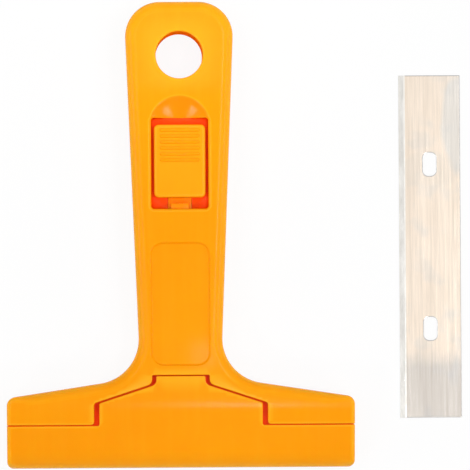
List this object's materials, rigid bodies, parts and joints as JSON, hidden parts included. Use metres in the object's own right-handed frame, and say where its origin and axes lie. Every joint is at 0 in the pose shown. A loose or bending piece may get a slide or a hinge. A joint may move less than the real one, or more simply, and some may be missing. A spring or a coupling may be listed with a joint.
{
  "type": "razor blade scraper",
  "caption": "T-handled razor blade scraper with a thumb slide that pushes the blade out of the head, a pull-off head cover and a loose spare blade.",
  "frame": {"origin": "on the flat back face, on the centre line, halfway between the nose and the hanging end", "axes": "+Y along the handle from the blade to the hanging end, +X across the head towards the loose blade, +Z from the back to the face with the button"},
  "size_m": [0.1325, 0.135, 0.015],
  "materials": {
    "moulding_front": "smooth moulded orange",
    "moulding_back": "smooth moulded orange",
    "moulding_cover": "smooth moulded orange",
    "moulding_button": "smooth moulded orange",
    "moulding_inner": "moulded orange",
    "blade_steel": "rolled lengthwise, ground edge",
    "spring_steel": "bright spring strip",
    "screw_steel": "zinc plated"
  },
  "bodies": {
    "handle": {"handle_front": "moulding_front", "handle_back": "moulding_back", "case_screw_upper_right": "screw_steel", "case_screw_upper_left": "screw_steel", "case_screw_lower_right": "screw_steel", "case_screw_lower_left": "screw_steel"},
    "slider": {"slide_button": "moulding_button", "drive_bar": "moulding_inner", "blade_carrier": "moulding_inner", "razor_blade": "blade_steel", "detent_spring": "spring_steel", "button_screw": "screw_steel", "joint_screw": "screw_steel"},
    "cover": {"head_cover": "moulding_cover"},
    "loose_blade": {"spare_blade": "blade_steel"}
  },
  "joints": [
    {"name": "blade_slide", "type": "slide", "parent": "handle", "child": "slider", "axis": [0, -1, 0], "range_m": [0, 0.003], "deforming": ["detent_spring"]},
    {"name": "cover_slide", "type": "slide", "parent": "handle", "child": "cover", "axis": [0, -1, 0], "range_m": [0, 0.032]},
    {"name": "spare_slide", "type": "slide", "parent": "handle", "child": "loose_blade", "axis": [1, 0, 0], "range_m": [0, 0.04]}
  ]
}
